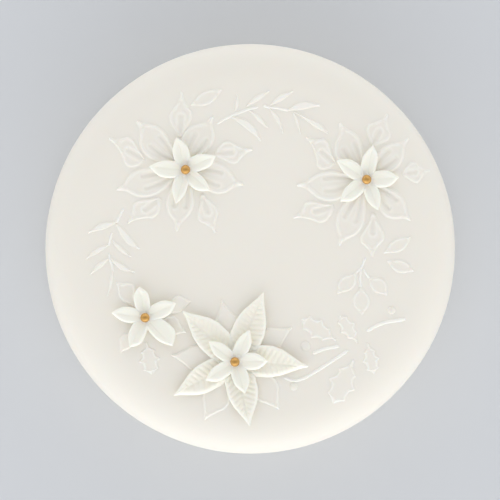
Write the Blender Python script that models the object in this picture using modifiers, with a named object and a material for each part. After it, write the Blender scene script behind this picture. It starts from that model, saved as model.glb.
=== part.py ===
"""A round iced fruit cake, with leaves embossed in its icing, four moulded sugar flowers and a gold pearl in each.

The origin is the centre of the flat base, +Z is up and +Y points to the back of the cake's top.
"""

import math

import bmesh
import bpy
from mathutils import Matrix, Vector

MM = 0.001

# The iced drum.
CAKE_RADIUS = 90.0 * MM
CAKE_HEIGHT = 60.0 * MM
SHOULDER_WIDTH = 18.0 * MM
SHOULDER_DROP = 12.0 * MM
SHOULDER_POWER = 2.2
SHOULDER_STEPS = 9
FOOT_ROUND = 1.5 * MM
TURN_STEPS = 64

# Heights of what the embosser raises above the icing, and how far its solids reach down into it.
LARGE_LEAF_RISE = 0.60 * MM
SMALL_LEAF_RISE = 0.55 * MM
FROND_LEAF_RISE = 0.55 * MM
HOLLY_RISE = 0.50 * MM
STEM_RISE = 0.75 * MM
BERRY_RISE = 0.80 * MM
LEAF_RIM = 0.9 * MM
LEAF_DIP = 0.3 * MM
SINK = 1.2 * MM
LAYER_STEP = 0.0017 * MM

# Clear space between pieces that rest on each other.
GAP = 0.3 * MM

# Moulded five-petal flowers.
PETAL_HALF_WIDTH = 3.5 * MM
PETAL_THICKNESS = 1.0 * MM
PETAL_LIFT = 2.1 * MM
PETAL_CUP = 0.7 * MM
PETAL_BELLY = 0.45
PETAL_FOOT = 0.75
PETAL_STEP = 0.02 * MM
FLOWER_CENTRE = 1.0 * MM
BOSS_RADIUS = 3.2 * MM
BOSS_PROUD = 0.2 * MM

# The large poinsettia's bracts.
BRACT_HALF_WIDTH = 7.0 * MM
BRACT_THICKNESS = 1.0 * MM
BRACT_LIFT = 1.9 * MM
BRACT_CUP = 1.1 * MM
BRACT_BOSS_RADIUS = 4.5 * MM

PEARL_RADIUS = 2.1 * MM

# Where each flower sits, and its petals as (bearing in degrees, length in millimetres).
FLOWERS = {
    "back_left": {
        "at": (-28.3, 34.6),
        "petals": ((24.7, 14.6), (105.7, 14.6), (175.0, 15.9), (254.6, 15.4), (319.5, 14.2)),
    },
    "back_right": {
        "at": (50.9, 30.3),
        "petals": ((4.0, 14.1), (79.5, 15.3), (147.6, 15.5), (219.3, 15.0), (290.8, 14.4)),
    },
    "front_left": {
        "at": (-46.0, -30.1),
        "petals": ((26.3, 14.5), (104.0, 13.6), (171.8, 15.3), (242.6, 14.6), (312.7, 15.4)),
    },
}
POINSETTIA = {
    "at": (-6.7, -49.4),
    "bracts": ((355.1, 33.0), (67.7, 32.8), (137.8, 31.7), (208.8, 30.6), (282.8, 28.7)),
    "heart": ((1.4, 14.4), (65.8, 15.4), (142.0, 14.5), (212.0, 15.2), (287.8, 14.4)),
}

# The embossed star of leaves under each flower. A leaf has the bearing and reach of its root and of its tip
# from the star's centre, and its half width, in degrees and millimetres.
STARS = {
    "back_left": {
        "at": (-28.5, 34.7),
        "large": (
            (62.2, 5.0, 62.2, 26.4, 6.5),
            (134.6, 5.0, 134.6, 30.2, 6.4),
            (196.3, 5.0, 196.3, 31.8, 6.3),
            (262.3, 5.0, 262.3, 27.6, 6.0),
            (345.3, 5.0, 345.3, 26.6, 6.5),
        ),
        "small": (
            (28.7, 14.4, 16.6, 30.3, 4.8),
            (99.0, 14.5, 92.7, 34.5, 4.9),
            (167.4, 18.7, 157.6, 36.0, 5.2),
            (228.5, 17.5, 223.0, 34.4, 4.8),
            (304.9, 12.9, 295.8, 30.4, 4.6),
        ),
    },
    "back_right": {
        "at": (51.1, 30.3),
        "large": (
            (44.7, 5.0, 44.7, 25.7, 5.2),
            (115.6, 5.0, 115.6, 26.9, 6.2),
            (184.4, 5.0, 184.4, 30.3, 6.4),
            (246.8, 5.0, 246.8, 31.0, 6.2),
            (317.0, 5.0, 317.0, 26.0, 5.4),
        ),
        "small": (
            (10.0, 15.0, 8.0, 28.0, 4.5),
            (80.0, 16.0, 71.3, 29.7, 4.8),
            (154.7, 15.4, 144.7, 32.1, 5.1),
            (218.4, 18.7, 207.5, 35.8, 4.9),
            (280.6, 14.7, 274.5, 33.3, 4.9),
        ),
    },
    "front_left": {
        "at": (-46.0, -30.1),
        "small": (
            (19.3, 4.0, 19.3, 21.5, 3.8),
            (129.4, 4.0, 129.4, 20.3, 4.2),
            (234.6, 4.0, 234.6, 18.7, 3.4),
            (340.6, 4.0, 340.6, 19.3, 4.8),
        ),
    },
    "front": {
        "at": (-6.7, -49.4),
        "small": (
            (30.7, 6.0, 30.7, 29.2, 6.0),
            (102.2, 6.0, 102.2, 27.7, 6.0),
            (174.2, 6.0, 174.2, 28.2, 6.0),
            (242.1, 6.0, 242.1, 29.0, 6.2),
            (311.8, 6.0, 311.8, 28.2, 6.2),
        ),
    },
}

# Fronds of narrow leaves: the stems' points, and leaves as (root, tip, half width, bow), in millimetres.
FRONDS = {
    "back": {
        "stems": (
            ((-14.6, 54.6), (-8.4, 58.1), (-3.9, 59.9), (3.6, 62.0)),
            ((5.6, 62.8), (8.4, 61.9), (12.0, 61.6), (16.8, 60.4)),
        ),
        "leaves": (
            ((-8.3, 57.7), (4.8, 46.9), 1.7, 1.8),
            ((-0.4, 60.6), (8.0, 52.6), 1.1, 0.3),
            ((8.6, 61.3), (14.4, 50.1), 1.1, 0.9),
            ((18.9, 59.8), (22.1, 49.9), 0.9, 0.3),
            ((18.4, 60.2), (34.2, 50.4), 1.4, 0.5),
            ((16.2, 60.6), (30.8, 62.6), 1.8, 1.1),
            ((-6.6, 60.2), (-5.8, 68.0), 0.9, -0.4),
            ((-1.8, 62.2), (8.6, 69.2), 1.2, 0.4),
            ((8.4, 62.6), (19.0, 69.0), 1.3, 0.4),
        ),
    },
    "left": {
        "stems": (
            ((-55.5, 17.7), (-57.0, 14.6), (-58.6, 11.2)),
            ((-60.3, 7.4), (-61.3, 4.2), (-61.9, 1.2)),
            ((-61.8, -1.8), (-61.6, -4.2), (-60.6, -6.8), (-59.9, -10.2)),
        ),
        "leaves": (
            ((-58.8, 11.0), (-48.0, -0.3), 1.8, -0.8),
            ((-60.6, 4.0), (-51.9, -3.6), 1.1, -0.5),
            ((-61.4, -4.2), (-50.3, -10.4), 1.3, -0.7),
            ((-58.7, 11.5), (-71.2, 6.8), 1.5, -0.6),
            ((-61.8, 1.8), (-72.0, -4.6), 1.2, -0.5),
            ((-61.6, -4.0), (-70.4, -11.6), 1.2, -0.4),
            ((-60.2, -9.2), (-62.6, -21.0), 1.1, 0.5),
        ),
    },
}

# Broad leaves that stand apart, as (root, tip, half width).
SPRIG_STEMS = (
    ((50.2, -4.0), (49.2, -7.0), (47.8, -9.2), (46.0, -10.6)),
    ((48.6, -8.6), (48.2, -12.0), (48.2, -16.9)),
    ((49.5, -8.8), (50.5, -10.6), (52.3, -12.9)),
)
SPRIG_LEAVES = (
    ((46.6, -10.0), (38.0, -19.8), 3.4),
    ((48.2, -16.3), (49.0, -29.1), 3.8),
    ((51.8, -12.2), (60.1, -20.4), 3.4),
    ((70.5, 5.6), (58.3, -2.0), 2.9),
    ((72.0, -9.8), (59.6, -5.2), 2.8),
    ((-12.0, 70.0), (-26.4, 62.7), 3.0),
)

# Holly: spiny leaves as (stalk end, tip, half width), bare stalks and berries.
HOLLY_SPINES = 3
HOLLY_LEAVES = (
    ((37.7, -40.1), (22.2, -30.7), 4.7),
    ((47.1, -41.2), (39.0, -29.1), 3.8),
    ((51.4, -41.1), (54.2, -54.6), 3.8),
    ((45.2, -48.5), (36.3, -67.8), 5.9),
    ((-45.4, -40.7), (-42.9, -55.0), 4.6),
)
STALK_WIDTH = 1.5
STALKS = (
    ((27.1, -45.9), (33.0, -43.7), (39.1, -42.6)),
    ((14.6, -56.0), (18.6, -57.6), (22.6, -56.9), (27.4, -54.4), (34.4, -50.0), (43.1, -44.3)),
    ((50.9, -36.1), (55.4, -33.6), (59.6, -32.1), (68.0, -30.8)),
)
BERRIES = (((24.2, -42.6), 2.2), ((19.1, -60.2), 1.8), ((61.8, -26.9), 1.8))

ICING_WHITE = (0.83, 0.80, 0.74, 1.0)
SUGAR_WHITE = (0.88, 0.86, 0.81, 1.0)
PEARL_GOLD = (0.62, 0.36, 0.09, 1.0)


def clear_scene():
    """Removes the startup objects."""
    for old in list(bpy.data.objects):
        bpy.data.objects.remove(old)


def new_collection(name, hidden=False):
    """A collection in the scene; a hidden one holds helpers only."""
    made = bpy.data.collections.new(name)
    made.hide_render = hidden
    bpy.context.scene.collection.children.link(made)
    return made


def new_material(name, colour, roughness, metallic=0.0):
    """A plain Principled finish."""
    made = bpy.data.materials.new(name)
    made.use_nodes = True
    shader = made.node_tree.nodes["Principled BSDF"]
    shader.inputs["Base Color"].default_value = colour
    shader.inputs["Roughness"].default_value = roughness
    shader.inputs["Metallic"].default_value = metallic
    return made


def object_from(name, bm, collection):
    """Turns a bmesh into a named object in a collection."""
    mesh = bpy.data.meshes.new(name)
    bm.to_mesh(mesh)
    bm.free()
    made = bpy.data.objects.new(name, mesh)
    collection.objects.link(made)
    return made


def shoulder_drop(radius):
    """How far the icing has fallen from the flat top at this distance from the axis."""
    share = (radius - (CAKE_RADIUS - SHOULDER_WIDTH)) / SHOULDER_WIDTH
    share = min(max(share, 0.0), 1.0)
    return SHOULDER_DROP * (1.0 - (1.0 - share**SHOULDER_POWER) ** (1.0 / SHOULDER_POWER))


def top_height(x, y):
    """Height of the icing's top at a place on the cake."""
    return CAKE_HEIGHT - shoulder_drop(math.hypot(x, y))


def drape(bm):
    """Moves a body that was built on z = 0 up onto the icing's curved top."""
    for vert in bm.verts:
        vert.co.z += top_height(vert.co.x, vert.co.y)


def loft(rings):
    """A closed body through rings of equally many points, the first and last ring capped."""
    bm = bmesh.new()
    loops = [[bm.verts.new(point) for point in ring] for ring in rings]
    count = len(loops[0])
    for low, high in zip(loops, loops[1:]):
        for i in range(count):
            j = (i + 1) % count
            bm.faces.new((low[i], low[j], high[j], high[i]))
    bm.faces.new(loops[0])
    bm.faces.new(loops[-1])
    bmesh.ops.recalc_face_normals(bm, faces=bm.faces)
    return bm


def leaf_share(u):
    """Width of a broad leaf, as a share of its greatest, with shoulders and a drawn-out tip."""
    ease = min(max((u - 0.6) / 0.4, 0.0), 1.0)
    ease = ease * ease * (3.0 - 2.0 * ease)
    return (4.0 * u * (1.0 - u)) ** 0.7 * (1.0 - 0.55 * ease)


def blade_share(u):
    """Width of a narrow frond leaf, as a share of its greatest."""
    return math.sin(math.pi * u**0.85) ** 0.9


def leaf_ring(root, tip, half_width, share, steps, z, bow=0.0):
    """The outline of a leaf from root to tip, level at z; bow arches its midrib to the left of its run."""
    root, tip = Vector(root), Vector(tip)
    along = tip - root
    across = Vector((-along.y, along.x)).normalized()
    stations = [i / steps for i in range(steps + 1)]

    def point(u, side):
        centre = root + along * u + across * bow * math.sin(math.pi * u)
        reach = 0.0 if u <= 0.0 or u >= 1.0 else half_width * share(u)
        spot = centre + across * side * reach
        return Vector((spot.x, spot.y, z))

    right = [point(u, -1.0) for u in stations]
    left = [point(u, 1.0) for u in reversed(stations[1:-1])]
    return right + left


def broad_leaf(root, tip, half_width, rise, steps=6):
    """An embossed leaf: a raised rim round a lower blade."""
    outline = leaf_ring(root, tip, half_width, leaf_share, steps, 0.0)
    bm = loft([[point + Vector((0.0, 0.0, z)) for point in outline] for z in (-SINK, rise)])
    top = max(bm.faces, key=lambda face: face.calc_center_median().z)
    bmesh.ops.inset_individual(bm, faces=[top], thickness=LEAF_RIM, depth=-LEAF_DIP, use_even_offset=True)
    drape(bm)
    return bm


def blade_leaf(root, tip, half_width, bow, rise, steps=4):
    """A solid narrow leaf with a blunt ridge."""
    root, tip = Vector(root), Vector(tip)
    bm = loft(
        (
            leaf_ring(root, tip, half_width, blade_share, steps, -SINK, bow),
            leaf_ring(root, tip, half_width, blade_share, steps, 0.4 * rise, bow),
            leaf_ring(root.lerp(tip, 0.06), tip.lerp(root, 0.06), 0.4 * half_width, blade_share, steps, rise, bow),
        )
    )
    drape(bm)
    return bm


def holly_leaf(stalk_end, tip, half_width):
    """A flat spiny leaf: its outline swings out to a spine and back between spines."""
    stalk_end, tip = Vector(stalk_end), Vector(tip)
    along = tip - stalk_end
    across = Vector((-along.y, along.x)).normalized()
    reaches = [(0.0, 0.0), (0.16, 0.16)]
    for n in range(HOLLY_SPINES):
        spine = 0.34 + 0.24 * n
        swell = 1.0 - 0.18 * abs(n - 1)
        reaches += [(spine, swell), (spine + 0.10, 0.52 * swell)]
    right = [stalk_end + along * u - across * half_width * r for u, r in reaches] + [tip]
    left = [stalk_end + along * u + across * half_width * r for u, r in reversed(reaches[1:])]
    outline = right + left
    bm = loft([[Vector((p.x, p.y, z)) for p in outline] for z in (-SINK, HOLLY_RISE)])
    drape(bm)
    return bm


def stalk(points, width):
    """A raised stem of even width along a few points, its sides sloping in."""
    spots = [Vector(p) for p in points]
    rings = []
    for half, z in ((0.5 * width, -SINK), (0.5 * width, 0.4 * STEM_RISE), (0.22 * width, STEM_RISE)):
        sides = {1.0: [], -1.0: []}
        for i, spot in enumerate(spots):
            before, after = spots[max(i - 1, 0)], spots[min(i + 1, len(spots) - 1)]
            run = (after - before).normalized()
            across = Vector((-run.y, run.x))
            for side, row in sides.items():
                place = spot + across * side * half
                row.append(Vector((place.x, place.y, z)))
        rings.append(sides[-1.0] + list(reversed(sides[1.0])))
    bm = loft(rings)
    drape(bm)
    return bm


def berry(centre, radius):
    """A low round button."""
    bm = bmesh.new()
    bmesh.ops.create_uvsphere(bm, u_segments=10, v_segments=6, radius=1.0)
    x, y = centre
    bmesh.ops.scale(bm, vec=(radius, radius, BERRY_RISE), verts=bm.verts)
    bmesh.ops.translate(bm, vec=(x, y, top_height(x, y)), verts=bm.verts)
    return bm


def scaled(value):
    """Millimetres of the layout tables, as metres, through any nesting of tuples."""
    if isinstance(value, tuple):
        return tuple(scaled(v) for v in value)
    return value * MM


def polar(centre, bearing, reach):
    """The place at a bearing in degrees and a distance from a centre."""
    turn = math.radians(bearing)
    return (centre[0] + reach * math.cos(turn), centre[1] + reach * math.sin(turn))


def relief_bodies():
    """Every embossed motif of the top, each as a closed body sunk into the icing."""
    bodies = []
    for star in STARS.values():
        at = scaled(star["at"])
        for kind, rise in (("large", LARGE_LEAF_RISE), ("small", SMALL_LEAF_RISE)):
            for root_bearing, root_reach, bearing, reach, half in star.get(kind, ()):
                root, tip = polar(at, root_bearing, root_reach * MM), polar(at, bearing, reach * MM)
                bodies.append(broad_leaf(root, tip, half * MM, rise))
    for frond in FRONDS.values():
        for stem in scaled(frond["stems"]):
            bodies.append(stalk(stem, 0.9 * MM))
        for root, tip, half, bow in scaled(frond["leaves"]):
            bodies.append(blade_leaf(root, tip, half, bow, FROND_LEAF_RISE))
    for root, tip, half in scaled(SPRIG_LEAVES):
        bodies.append(broad_leaf(root, tip, half, SMALL_LEAF_RISE))
    for stem in scaled(SPRIG_STEMS):
        bodies.append(stalk(stem, 0.7 * MM))
    for stalk_end, tip, half in scaled(HOLLY_LEAVES):
        bodies.append(holly_leaf(stalk_end, tip, half))
    for points in scaled(STALKS):
        bodies.append(stalk(points, STALK_WIDTH * MM))
    for centre, radius in scaled(BERRIES):
        bodies.append(berry(centre, radius))
    return bodies


def fuse(base, helpers, name, collection, material):
    """Joins the base and all of a collection's bodies into one named object, and removes them."""
    join = base.modifiers.new("join", "BOOLEAN")
    join.operation = "UNION"
    join.operand_type = "COLLECTION"
    join.collection = helpers
    join.solver = "EXACT"
    graph = bpy.context.evaluated_depsgraph_get()
    mesh = bpy.data.meshes.new_from_object(base.evaluated_get(graph))
    for used in list(helpers.objects) + [base]:
        bpy.data.objects.remove(used)
    bpy.data.collections.remove(helpers)
    mesh.name = name
    mesh.materials.clear()
    mesh.materials.append(material)
    made = bpy.data.objects.new(name, mesh)
    collection.objects.link(made)
    return made


def turned_drum(collection):
    """The plain iced drum: a profile from the axis over the shoulder to the base, turned once."""
    profile = [Vector((0.0, 0.0, CAKE_HEIGHT))]
    for i in range(SHOULDER_STEPS + 1):
        quarter = 0.5 * math.pi * i / SHOULDER_STEPS
        across = math.sin(quarter) ** (2.0 / SHOULDER_POWER)
        radius = CAKE_RADIUS - SHOULDER_WIDTH + SHOULDER_WIDTH * across
        profile.append(Vector((radius, 0.0, CAKE_HEIGHT - shoulder_drop(radius))))
    profile.append(Vector((CAKE_RADIUS, 0.0, FOOT_ROUND)))
    profile.append(Vector((CAKE_RADIUS - FOOT_ROUND, 0.0, 0.0)))
    profile.append(Vector((0.0, 0.0, 0.0)))
    bm = bmesh.new()
    verts = [bm.verts.new(point) for point in profile]
    for a, b in zip(verts, verts[1:]):
        bm.edges.new((a, b))
    drum = object_from("drum", bm, collection)
    turn = drum.modifiers.new("turn", "SCREW")
    turn.steps = TURN_STEPS
    turn.render_steps = TURN_STEPS
    turn.use_merge_vertices = True
    turn.merge_threshold = 0.00001
    return drum


def make_cake(collection, material):
    """The iced drum with its embossed top, as one body.

    Each motif sits a hair higher than the one before, so that no two of their faces coincide.
    """
    helpers = new_collection("relief")
    for n, bm in enumerate(relief_bodies()):
        bmesh.ops.translate(bm, vec=(0.0, 0.0, n * LAYER_STEP), verts=bm.verts)
        object_from(f"relief_{n:02d}", bm, helpers)
    drum = turned_drum(collection)
    return fuse(drum, helpers, "iced_cake", collection, material)


def petal_share(u):
    """Width of a moulded petal, as a share of its greatest: broad at its foot, pointed at its tip."""
    if u < PETAL_BELLY:
        return PETAL_FOOT + (1.0 - PETAL_FOOT) * math.sin(0.5 * math.pi * u / PETAL_BELLY)
    past = (u - PETAL_BELLY) / (1.0 - PETAL_BELLY)
    return max(math.cos(0.5 * math.pi * past**1.12), 0.06)


def petal(spec, bearing, length, step):
    """One petal: a cupped leaf-shaped surface that climbs to its tip, and the same surface below it.

    Each sits a hair higher than the one before, so that no two of their faces coincide.
    """
    along_steps, across_steps = spec["steps"]
    bm = bmesh.new()
    bmesh.ops.create_grid(bm, x_segments=along_steps, y_segments=across_steps, size=0.5)
    underside = bmesh.ops.extrude_face_region(bm, geom=bm.faces[:])["geom"]
    underside = {element for element in underside if isinstance(element, bmesh.types.BMVert)}
    centre_z = spec["floor"] + FLOWER_CENTRE + 0.5 * spec["thickness"] + step
    for vert in bm.verts:
        u, v = vert.co.x + 0.5, 2.0 * vert.co.y
        share = petal_share(u)
        hollow = spec["cup"] * min(u / PETAL_BELLY, 1.0)
        climb = spec["lift"] * u**1.4 + hollow * share * v * v
        level = centre_z - (spec["thickness"] if vert in underside else 0.0)
        vert.co = Vector((length * u, spec["half_width"] * share * v, level + climb))
    spin = Matrix.Rotation(math.radians(bearing), 4, "Z")
    bmesh.ops.transform(bm, matrix=Matrix.Translation(spec["at"]) @ spin, verts=bm.verts)
    bmesh.ops.recalc_face_normals(bm, faces=bm.faces)
    return bm


def make_flower(name, spec, collection, material):
    """Petals round a low boss, joined as one moulded body."""
    helpers = new_collection(name + "_petals")
    for n, (bearing, length) in enumerate(spec["petals"]):
        object_from(f"{name}_petal_{n}", petal(spec, bearing, length * MM, n * PETAL_STEP), helpers)
    height = FLOWER_CENTRE + 0.5 * spec["thickness"] + BOSS_PROUD
    bm = bmesh.new()
    bmesh.ops.create_cone(
        bm,
        cap_ends=True,
        segments=20,
        radius1=spec["boss_radius"],
        radius2=0.9 * spec["boss_radius"],
        depth=height,
    )
    bmesh.ops.translate(bm, vec=spec["at"] + Vector((0.0, 0.0, spec["floor"] + 0.5 * height)), verts=bm.verts)
    boss = object_from(name + "_boss", bm, collection)
    return fuse(boss, helpers, name, collection, material)


def make_pearl(name, at, low_point, collection, material):
    """A small sugar ball."""
    bm = bmesh.new()
    bmesh.ops.create_uvsphere(bm, u_segments=12, v_segments=8, radius=PEARL_RADIUS)
    bmesh.ops.translate(bm, vec=(at[0], at[1], low_point + PEARL_RADIUS), verts=bm.verts)
    made = object_from(name, bm, collection)
    made.data.shade_smooth()
    made.data.materials.append(material)
    return made


def flower_top(floor):
    """Height that a pearl's lowest point takes above a flower whose boss stands on this floor."""
    return floor + FLOWER_CENTRE + 0.5 * PETAL_THICKNESS + BOSS_PROUD + GAP


def make_flowers(collection, sugar, gold):
    """The three small flowers, then the poinsettia with a small flower set in its bracts."""
    small = {
        "half_width": PETAL_HALF_WIDTH,
        "thickness": PETAL_THICKNESS,
        "lift": PETAL_LIFT,
        "cup": PETAL_CUP,
        "boss_radius": BOSS_RADIUS,
        "steps": (6, 4),
    }
    floor = CAKE_HEIGHT + GAP
    for place, flower in FLOWERS.items():
        at = Vector((*scaled(flower["at"]), 0.0))
        spec = dict(small, at=at, floor=floor, petals=flower["petals"])
        make_flower("flower_" + place, spec, collection, sugar)
        make_pearl("pearl_" + place, at, flower_top(floor), collection, gold)
    at = Vector((*scaled(POINSETTIA["at"]), 0.0))
    bracts = {
        "at": at,
        "floor": floor,
        "petals": POINSETTIA["bracts"],
        "half_width": BRACT_HALF_WIDTH,
        "thickness": BRACT_THICKNESS,
        "lift": BRACT_LIFT,
        "cup": BRACT_CUP,
        "boss_radius": BRACT_BOSS_RADIUS,
        "steps": (8, 4),
    }
    make_flower("poinsettia_bracts", bracts, collection, sugar)
    heart_floor = floor + FLOWER_CENTRE + 0.5 * BRACT_THICKNESS + BOSS_PROUD + GAP
    heart = dict(small, at=at, floor=heart_floor, petals=POINSETTIA["heart"])
    make_flower("poinsettia_heart", heart, collection, sugar)
    make_pearl("pearl_poinsettia", at, flower_top(heart_floor), collection, gold)


def main():
    clear_scene()
    collection = new_collection("christmas_cake")
    icing = new_material("icing", ICING_WHITE, 0.45)
    sugar = new_material("sugar", SUGAR_WHITE, 0.5)
    gold = new_material("gold", PEARL_GOLD, 0.35, 0.9)
    make_cake(collection, icing)
    make_flowers(collection, sugar, gold)


main()
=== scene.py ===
import math

import bmesh
import bpy
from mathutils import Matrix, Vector, noise


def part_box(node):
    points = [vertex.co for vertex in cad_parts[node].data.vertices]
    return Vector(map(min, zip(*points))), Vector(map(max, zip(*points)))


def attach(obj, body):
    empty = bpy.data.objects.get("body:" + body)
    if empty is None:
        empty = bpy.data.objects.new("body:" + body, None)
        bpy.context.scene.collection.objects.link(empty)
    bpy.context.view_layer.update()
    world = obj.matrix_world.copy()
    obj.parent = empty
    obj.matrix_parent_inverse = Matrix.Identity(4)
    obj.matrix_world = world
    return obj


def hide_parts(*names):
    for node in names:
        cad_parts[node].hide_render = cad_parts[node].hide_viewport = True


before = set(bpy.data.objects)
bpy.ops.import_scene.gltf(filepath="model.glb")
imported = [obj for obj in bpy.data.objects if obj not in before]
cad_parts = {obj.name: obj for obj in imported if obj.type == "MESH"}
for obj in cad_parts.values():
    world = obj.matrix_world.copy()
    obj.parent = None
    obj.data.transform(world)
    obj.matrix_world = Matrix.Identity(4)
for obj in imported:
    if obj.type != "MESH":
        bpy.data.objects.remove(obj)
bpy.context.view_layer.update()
mm = 0.001

# The cake's size comes from the frame. Its top is level as far as the soft shoulder.
cakeLow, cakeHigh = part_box("iced_cake")
cakeRadius = 0.5 * (cakeHigh[0] - cakeLow[0])
shoulder = {"top": 60.0 * mm, "width": 18.0 * mm, "drop": 12.0 * mm, "power": 2.2}


def icingHeight(x, y):
    # height of the bare icing at a place on the top
    reach = (math.hypot(x, y) - (cakeRadius - shoulder["width"])) / shoulder["width"]
    reach = min(max(reach, 0.0), 1.0)
    fall = 1.0 - (1.0 - reach ** shoulder["power"]) ** (1.0 / shoulder["power"])
    return shoulder["top"] - shoulder["drop"] * fall


def polar(centre, bearing, reach):
    # the place at a bearing in degrees and a distance from a centre
    turn = math.radians(bearing)
    return Vector((centre[0] + reach * math.cos(turn), centre[1] + reach * math.sin(turn), 0.0))


# Shader groups and materials


def feed(tree, socket, value):
    # a socket takes another node's output or a plain value
    if isinstance(value, bpy.types.NodeSocket):
        tree.links.new(value, socket)
    else:
        socket.default_value = value


def addNode(tree, kind, inputs=None, **settings):
    # a node with its settings, its sockets fed by label or number
    node = tree.nodes.new(kind)
    for key, value in settings.items():
        setattr(node, key, value)
    for label, value in (inputs or {}).items():
        feed(tree, node.inputs[label], value)
    return node


def newTree(name, treeKind, inputs, outputs):
    # a node tree with named sockets, and its inputs; they are given as (label, kind, value)
    tree = bpy.data.node_groups.new(name, treeKind)
    for label, kind, value in inputs:
        socket = tree.interface.new_socket(name=label, in_out="INPUT", socket_type="NodeSocket" + kind)
        if value is not None:
            socket.default_value = value
    for label, kind in outputs:
        tree.interface.new_socket(name=label, in_out="OUTPUT", socket_type="NodeSocket" + kind)
    return tree, addNode(tree, "NodeGroupInput").outputs


def calc(tree, operation, *values, clamp=False):
    node = addNode(tree, "ShaderNodeMath", dict(enumerate(values)), operation=operation, use_clamp=clamp)
    return node.outputs[0]


def total(tree, *values):
    result = values[0]
    for value in values[1:]:
        result = calc(tree, "ADD", result, value)
    return result


def product(tree, *values):
    result = values[0]
    for value in values[1:]:
        result = calc(tree, "MULTIPLY", result, value)
    return result


def ramp(tree, value, low, high, start=0.0, end=1.0, shape="SMOOTHSTEP"):
    # goes from start to end while value goes from low to high
    inputs = {"Value": value, "From Min": low, "From Max": high, "To Min": start, "To Max": end}
    return addNode(tree, "ShaderNodeMapRange", inputs, interpolation_type=shape).outputs["Result"]


def mixed(tree, factor, low, high, kind="FLOAT"):
    inputs = {"Factor": factor, "A": low, "B": high}
    return addNode(tree, "ShaderNodeMix", inputs, data_type=kind).outputs["Result"]


def cloud(tree, scale, detail, roughness=0.5):
    # soft noise that lies still on the piece
    place = addNode(tree, "ShaderNodeTexCoord").outputs["Object"]
    inputs = {"Vector": place, "Scale": scale, "Detail": detail, "Roughness": roughness}
    return addNode(tree, "ShaderNodeTexNoise", inputs, noise_dimensions="3D").outputs["Fac"]


def sugarGrainGroup():
    # two close whites that drift over the surface, a paler white painted on as a painted highlight where the
    # piece stores one, and the fine grain of kneaded sugar over slower swells
    group, value = newTree(
        "sugarGrain",
        "ShaderNodeTree",
        [
            ("White", "Color", (0.85, 0.82, 0.76, 1.0)),
            ("Cream", "Color", (0.84, 0.80, 0.72, 1.0)),
            ("Painted Highlight White", "Color", (0.90, 0.88, 0.84, 1.0)),
            ("Drift Size", "Float", 22.0),
            ("Swell Size", "Float", 90.0),
            ("Swell Depth", "Float", 3.0),
            ("Grain Size", "Float", 1600.0),
            ("Grain Depth", "Float", 1.0),
            ("Satin", "Float", 0.42),
            ("Dull", "Float", 0.56),
        ],
        [("Color", "Color"), ("Height", "Float"), ("Gloss", "Float")],
    )
    drift = cloud(group, value["Drift Size"], 3.0)
    swell = cloud(group, value["Swell Size"], 2.0)
    grain = cloud(group, value["Grain Size"], 4.0, 0.65)
    tint = mixed(group, drift, value["White"], value["Cream"], "RGBA")
    paintedHighlight = addNode(group, "ShaderNodeAttribute", attribute_name="paintedHighlight").outputs["Fac"]
    swell = product(group, swell, value["Swell Depth"])
    grain = product(group, grain, value["Grain Depth"])
    # the palest white is a painted highlight, mixed in by the highlight mask that leaves, petals and stalks
    # store
    outcome = {
        "Color": mixed(group, paintedHighlight, tint, value["Painted Highlight White"], "RGBA"),
        "Height": total(group, swell, grain),
        "Gloss": ramp(group, drift, 0.0, 1.0, value["Satin"], value["Dull"], "LINEAR"),
    }
    addNode(group, "NodeGroupOutput", outcome)
    return group


def lustreGroup():
    # how pearly metal dust lies on a sugar ball: thin in small patches
    group, value = newTree(
        "goldLustre",
        "ShaderNodeTree",
        [
            ("Gold", "Color", (0.66, 0.38, 0.11, 1.0)),
            ("Deep Gold", "Color", (0.50, 0.26, 0.06, 1.0)),
            ("Patch Size", "Float", 900.0),
            ("Bright", "Float", 0.30),
            ("Dull", "Float", 0.48),
        ],
        [("Color", "Color"), ("Roughness", "Float"), ("Height", "Float")],
    )
    patch = cloud(group, value["Patch Size"], 5.0)
    outcome = {
        "Color": mixed(group, patch, value["Gold"], value["Deep Gold"], "RGBA"),
        "Roughness": ramp(group, patch, 0.0, 1.0, value["Bright"], value["Dull"], "LINEAR"),
        "Height": patch,
    }
    addNode(group, "NodeGroupOutput", outcome)
    return group


# in each paste the palest white is a painted highlight colour, laid on where the piece stands up
paste = {
    "icingPaste": {
        "White": (0.881, 0.835, 0.742, 1.0),
        "Cream": (0.869, 0.822, 0.725, 1.0),
        "Painted Highlight White": (0.93, 0.905, 0.828, 1.0),
        "Grain Depth": 1.0,
    },
    "flowerPaste": {
        "White": (0.935, 0.913, 0.797, 1.0),
        "Cream": (0.925, 0.902, 0.783, 1.0),
        "Painted Highlight White": (0.955, 0.938, 0.835, 1.0),
        "Grain Depth": 0.8,
    },
    "bractPaste": {
        "White": (0.914, 0.874, 0.752, 1.0),
        "Cream": (0.902, 0.86, 0.735, 1.0),
        "Painted Highlight White": (0.952, 0.924, 0.82, 1.0),
        "Grain Depth": 0.8,
    },
}


def newMaterial(name):
    material = bpy.data.materials.new(name)
    material.use_nodes = True
    return material, material.node_tree


def setShader(tree, values):
    for label, value in values.items():
        feed(tree, tree.nodes["Principled BSDF"].inputs[label], value)


def bumpFrom(tree, height, depth, strength):
    inputs = {"Height": height, "Distance": depth, "Strength": strength}
    return addNode(tree, "ShaderNodeBump", inputs).outputs["Normal"]


def sugarMaterial(name, group):
    # sugar paste: a satin white that lets a little light in
    material, tree = newMaterial(name)
    grain = addNode(tree, "ShaderNodeGroup", node_tree=group)
    for label, value in paste[name].items():
        grain.inputs[label].default_value = value
    shine = {
        "Base Color": grain.outputs["Color"],
        "Roughness": grain.outputs["Gloss"],
        "Normal": bumpFrom(tree, grain.outputs["Height"], 0.05 * mm, 0.35),
        "Subsurface Weight": 0.2,
        "Subsurface Radius": (1.0, 0.72, 0.48),
        "Subsurface Scale": 0.5 * mm,
        "Specular IOR Level": 0.35,
    }
    setShader(tree, shine)
    return material


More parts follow.
